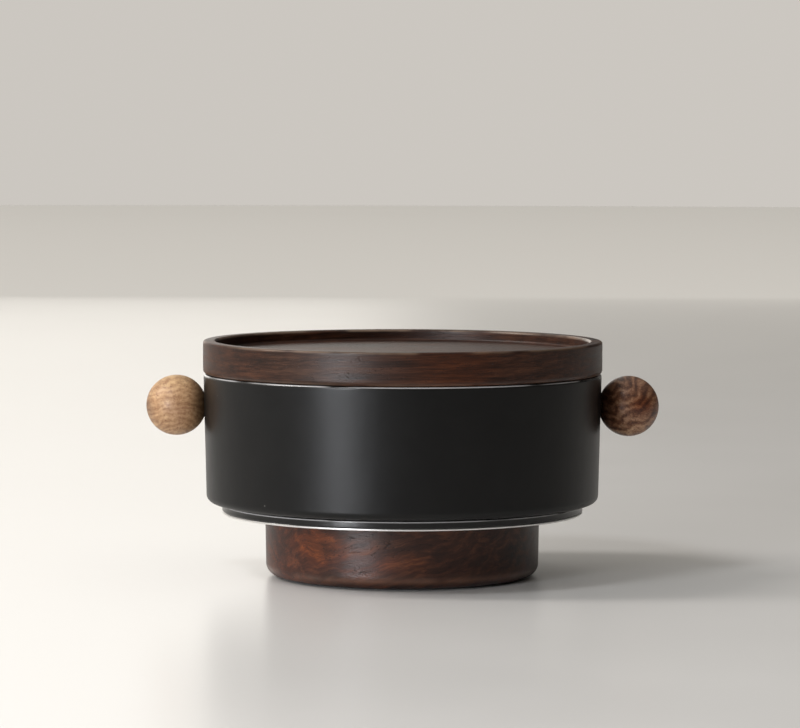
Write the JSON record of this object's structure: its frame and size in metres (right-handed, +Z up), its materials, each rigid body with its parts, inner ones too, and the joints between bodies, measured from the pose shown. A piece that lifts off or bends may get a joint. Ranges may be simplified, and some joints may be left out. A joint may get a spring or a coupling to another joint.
{
  "type": "go stone bowl",
  "caption": "Lidded round bowl for go stones: black turned body on a wooden foot, dark wood tray lid and wooden ball handles.",
  "frame": {"origin": "middle of the underside, where the bowl's axis meets the table", "axes": "+Z up along the bowl's axis, X through the two ball handles with the darker ball at +X, and the front at -Y"},
  "size_m": [0.1928, 0.15, 0.0888],
  "materials": {
    "black_lacquer": "satin black lacquer over turned wood",
    "lid_wood": "oiled and waxed dark figured wood",
    "foot_wood": "oiled and waxed reddish-brown burr wood",
    "light_wood": "oiled pale mottled wood",
    "brown_wood": "oiled brown streaked wood",
    "polished_steel": "polished bright",
    "screw_steel": "bright machined",
    "brass": "bright machined",
    "felt": "dense dark grey felt"
  },
  "bodies": {
    "bowl_body": {"bowl": "black_lacquer", "foot": "foot_wood", "trim_ring": "polished_steel", "foot_pad": "felt", "foot_screws": "brass", "handle_ball_left": "light_wood", "handle_ball_right": "brown_wood", "handle_insert_left": "brass", "handle_insert_right": "brass", "handle_screw_left": "screw_steel", "handle_screw_right": "screw_steel", "handle_washer_left": "screw_steel", "handle_washer_right": "screw_steel"},
    "lid_body": {"lid": "lid_wood"}
  },
  "joints": [
    {"name": "lid_lift", "type": "slide", "parent": "bowl_body", "child": "lid_body", "axis": [0, 0, 1], "range_m": [0, 0.12]}
  ]
}
